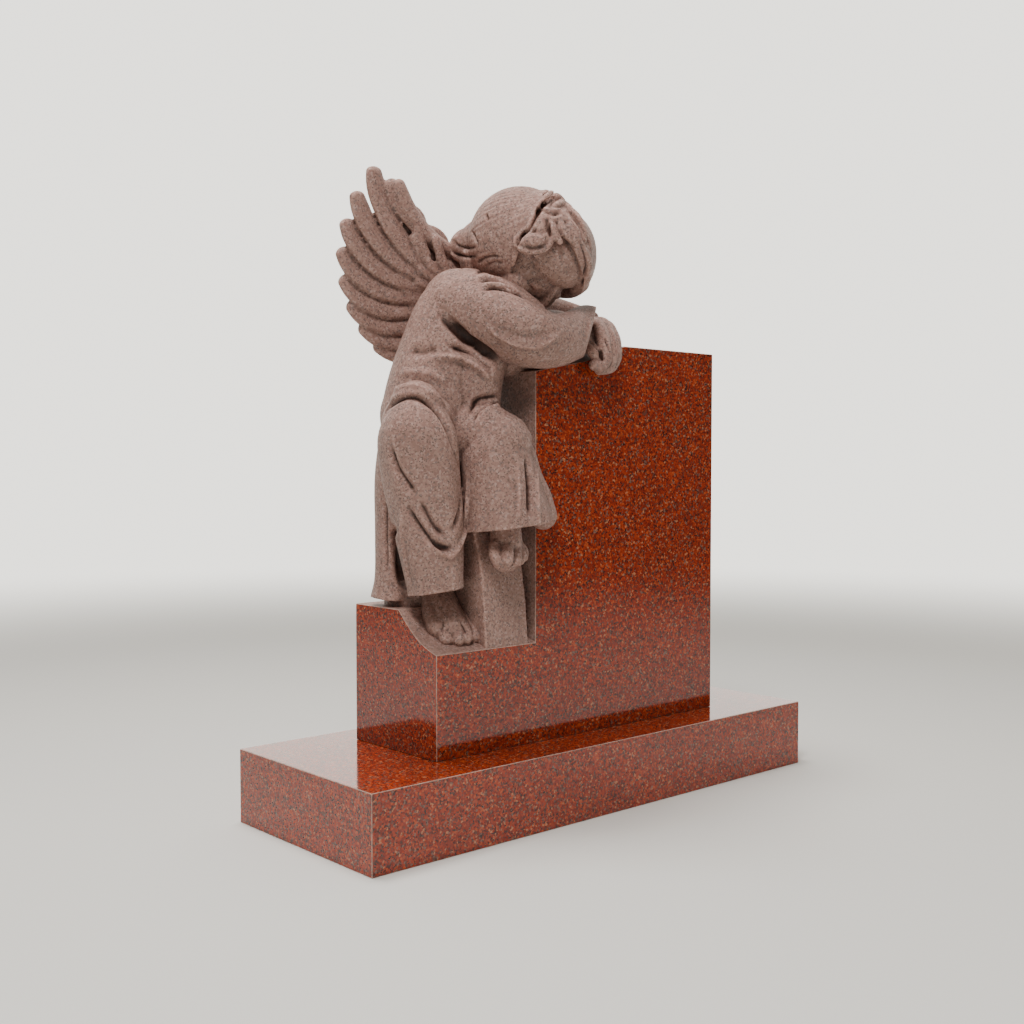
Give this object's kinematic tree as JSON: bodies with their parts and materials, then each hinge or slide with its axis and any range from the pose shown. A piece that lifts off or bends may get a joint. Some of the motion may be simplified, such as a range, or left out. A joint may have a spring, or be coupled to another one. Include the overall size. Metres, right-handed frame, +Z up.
{
  "type": "angel headstone",
  "caption": "Granite headstone on a slab base: a plain polished tablet with a step, where a carved winged child sits and leans asleep on the tablet.",
  "frame": {"origin": "middle of the base's underside", "axes": "+X to the right along the base as seen from the front, +Y from the front to the back, +Z up"},
  "size_m": [0.84, 0.305, 0.8937],
  "materials": {
    "polished_granite": "polished",
    "honed_granite": "matte"
  },
  "bodies": {
    "root": {"base": "polished_granite", "headstone": "honed_granite"}
  },
  "joints": []
}
